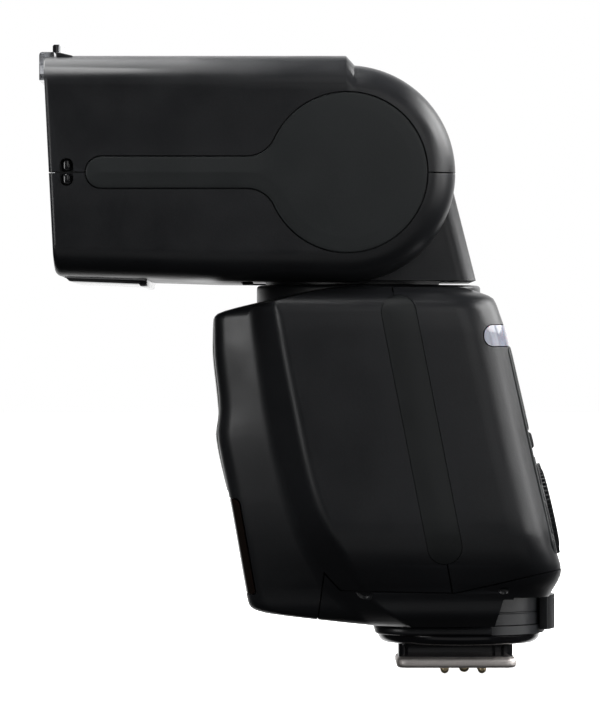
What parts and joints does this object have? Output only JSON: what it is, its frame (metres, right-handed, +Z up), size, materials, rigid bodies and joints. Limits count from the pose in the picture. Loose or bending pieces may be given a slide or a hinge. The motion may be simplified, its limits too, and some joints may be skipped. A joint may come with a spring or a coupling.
{
  "type": "speedlight flash",
  "caption": "Shoe-mount electronic flash: swivelling, tilting zoom head on a body with display, keys, dial, cells behind a side door and a locking shoe foot.",
  "frame": {"origin": "centre of the shoe foot plate's underside", "axes": "+Z up from the foot, -Y the way the lamp head points, +Y towards the control panel, +X to the viewer's left seen from the panel side"},
  "size_m": [0.0716, 0.0966, 0.1173],
  "materials": {
    "black_plastic": "fine textured satin black moulding",
    "trim_plastic": "smooth satin black-grey moulding",
    "gloss_black": "polished black",
    "button_rubber": "matte dark grey rubber",
    "foot_metal": "bright plated metal",
    "steel": "machined",
    "contact_metal": "gold plated contact",
    "reflector_metal": "bright anodised reflector",
    "lens_clear": "clear ribbed acrylic",
    "tube_glass": "clear quartz",
    "sensor_smoke": "dark translucent infrared window",
    "dark_red": "very dark red polished window",
    "lamp_window": "pale milky window",
    "panel_white": "white card",
    "lcd_glass": "grey-green display",
    "board_green": "lacquered circuit board",
    "cell_sleeve": "printed sleeve, no marking",
    "capacitor_sleeve": "shrink sleeve"
  },
  "bodies": {
    "body": {"foot_plate": "foot_metal", "foot_collar": "gloss_black", "foot_base": "black_plastic", "body_front_shell": "black_plastic", "body_rear_shell": "black_plastic", "base_cover": "black_plastic", "battery_door_hinge_pin": "steel", "sensor_window": "sensor_smoke", "af_assist_lens": "dark_red", "link_lamp_window": "lamp_window", "back_panel": "trim_plastic", "lcd_window": "gloss_black", "lcd_module": "lcd_glass", "battery_cell_1": "cell_sleeve", "battery_cell_2": "cell_sleeve", "battery_cell_3": "cell_sleeve", "battery_cell_4": "cell_sleeve", "cell_contact_strip": "contact_metal", "main_capacitor": "capacitor_sleeve", "main_board": "board_green", "swivel_collar": "gloss_black"},
    "turret": {"turret_front_shell": "black_plastic", "turret_rear_shell": "black_plastic", "tilt_detent_plate": "steel", "swivel_tube": "steel", "swivel_nut": "steel"},
    "head": {"head_upper_cover": "black_plastic", "head_lower_cover": "black_plastic", "head_side_trim_left": "trim_plastic", "head_side_trim_right": "trim_plastic", "tilt_axle": "steel", "front_lens": "lens_clear", "zoom_guide_rod": "steel", "zoom_motor": "steel"},
    "bounce_lock_button": {"bounce_lock_button": "trim_plastic"},
    "wide_panel": {"wide_panel": "lens_clear"},
    "catchlight_panel": {"catchlight_panel": "panel_white"},
    "zoom_carriage": {"zoom_carriage": "black_plastic", "reflector": "reflector_metal", "flash_tube": "tube_glass"},
    "zoom_lead_screw": {"zoom_lead_screw": "steel"},
    "battery_door": {"battery_door": "black_plastic"},
    "battery_door_catch": {"battery_door_catch": "trim_plastic"},
    "select_dial": {"select_dial": "black_plastic"},
    "power_switch": {"power_switch": "trim_plastic"},
    "lock_lever": {"lock_lever": "black_plastic"},
    "lock_pin": {"lock_pin": "steel"},
    "function_button_1": {"function_button_1": "button_rubber"},
    "function_button_2": {"function_button_2": "button_rubber"},
    "function_button_3": {"function_button_3": "button_rubber"},
    "function_button_4": {"function_button_4": "button_rubber"},
    "mode_button": {"mode_button": "button_rubber"},
    "wireless_button": {"wireless_button": "button_rubber"},
    "test_button": {"test_button": "button_rubber"},
    "set_button": {"set_button": "button_rubber"},
    "contact_pin_centre": {"contact_pin_centre": "contact_metal"},
    "contact_pin_front_left": {"contact_pin_front_left": "contact_metal"},
    "contact_pin_front_right": {"contact_pin_front_right": "contact_metal"},
    "contact_pin_rear_left": {"contact_pin_rear_left": "contact_metal"},
    "contact_pin_rear_right": {"contact_pin_rear_right": "contact_metal"}
  },
  "joints": [
    {"name": "swivel", "type": "hinge", "parent": "body", "child": "turret", "pos_m": [0, -0.0163, 0.071], "axis": [0, 0, 1], "range_deg": [-150, 180]},
    {"name": "tilt", "type": "hinge", "parent": "turret", "child": "head", "pos_m": [0, -0.0206, 0.091], "axis": [-1, 0, 0], "range_deg": [0, 90]},
    {"name": "bounce_lock_press", "type": "slide", "parent": "head", "child": "bounce_lock_button", "axis": [1, 0, 0], "range_m": [0, 0.001], "stiffness_N_per_m": 300},
    {"name": "wide_panel_slide", "type": "slide", "parent": "head", "child": "wide_panel", "axis": [0, -1, 0], "range_m": [0, 0.034]},
    {"name": "catchlight_slide", "type": "slide", "parent": "head", "child": "catchlight_panel", "axis": [0, -1, 0], "range_m": [0, 0.03]},
    {"name": "zoom_travel", "type": "slide", "parent": "head", "child": "zoom_carriage", "axis": [0, 1, 0], "range_m": [0, 0.012]},
    {"name": "zoom_screw_spin", "type": "hinge", "parent": "head", "child": "zoom_lead_screw", "pos_m": [-0.0292, -0.0568, 0.08], "axis": [0, 1, 0], "range_deg": [-5, 2165]},
    {"name": "battery_door_hinge", "type": "hinge", "parent": "body", "child": "battery_door", "pos_m": [-0.0286, -0.0112, 0.0136], "axis": [0, -1, 0], "range_deg": [0, 95]},
    {"name": "battery_catch_slide", "type": "slide", "parent": "battery_door", "child": "battery_door_catch", "axis": [0, 0, -1], "range_m": [0, 0.002], "stiffness_N_per_m": 60},
    {"name": "dial_turn", "type": "hinge", "parent": "body", "child": "select_dial", "pos_m": [0, 0.01625, 0.02907], "axis": [0, 0.9752, 0.2215], "continuous": true},
    {"name": "power_switch_slide", "type": "slide", "parent": "body", "child": "power_switch", "axis": [1, 0, 0], "range_m": [-0.002, 0.002]},
    {"name": "lock_lever_turn", "type": "hinge", "parent": "body", "child": "lock_lever", "pos_m": [0, 0.00056, 0.0088], "axis": [0, 0, -1], "range_deg": [0, 38]},
    {"name": "lock_pin_drop", "type": "slide", "parent": "body", "child": "lock_pin", "axis": [0, 0, -1], "range_m": [0, 0.0018]},
    {"name": "function_button_1_press", "type": "slide", "parent": "body", "child": "function_button_1", "axis": [0, -0.9752, -0.2215], "range_m": [0, 0.0008], "stiffness_N_per_m": 150},
    {"name": "function_button_2_press", "type": "slide", "parent": "body", "child": "function_button_2", "axis": [0, -0.9752, -0.2215], "range_m": [0, 0.0008], "stiffness_N_per_m": 150},
    {"name": "function_button_3_press", "type": "slide", "parent": "body", "child": "function_button_3", "axis": [0, -0.9752, -0.2215], "range_m": [0, 0.0008], "stiffness_N_per_m": 150},
    {"name": "function_button_4_press", "type": "slide", "parent": "body", "child": "function_button_4", "axis": [0, -0.9752, -0.2215], "range_m": [0, 0.0008], "stiffness_N_per_m": 150},
    {"name": "mode_button_press", "type": "slide", "parent": "body", "child": "mode_button", "axis": [0, -0.9752, -0.2215], "range_m": [0, 0.0008], "stiffness_N_per_m": 150},
    {"name": "wireless_button_press", "type": "slide", "parent": "body", "child": "wireless_button", "axis": [0, -0.9752, -0.2215], "range_m": [0, 0.0008], "stiffness_N_per_m": 150},
    {"name": "test_button_press", "type": "slide", "parent": "body", "child": "test_button", "axis": [0, -0.9752, -0.2215], "range_m": [0, 0.0008], "stiffness_N_per_m": 150},
    {"name": "set_button_press", "type": "slide", "parent": "body", "child": "set_button", "axis": [0, -0.9752, -0.2215], "range_m": [0, 0.0008], "stiffness_N_per_m": 150},
    {"name": "contact_pin_centre_press", "type": "slide", "parent": "body", "child": "contact_pin_centre", "axis": [0, 0, 1], "range_m": [0, 0.001], "stiffness_N_per_m": 100},
    {"name": "contact_pin_front_left_press", "type": "slide", "parent": "body", "child": "contact_pin_front_left", "axis": [0, 0, 1], "range_m": [0, 0.001], "stiffness_N_per_m": 100},
    {"name": "contact_pin_front_right_press", "type": "slide", "parent": "body", "child": "contact_pin_front_right", "axis": [0, 0, 1], "range_m": [0, 0.001], "stiffness_N_per_m": 100},
    {"name": "contact_pin_rear_left_press", "type": "slide", "parent": "body", "child": "contact_pin_rear_left", "axis": [0, 0, 1], "range_m": [0, 0.001], "stiffness_N_per_m": 100},
    {"name": "contact_pin_rear_right_press", "type": "slide", "parent": "body", "child": "contact_pin_rear_right", "axis": [0, 0, 1], "range_m": [0, 0.001], "stiffness_N_per_m": 100}
  ],
  "couplings": [
    {"joint": "zoom_screw_spin", "follows": "zoom_travel", "rad_per_m": 3141.6},
    {"joint": "lock_pin_drop", "follows": "lock_lever_turn", "m_per_rad": 0.002413}
  ]
}
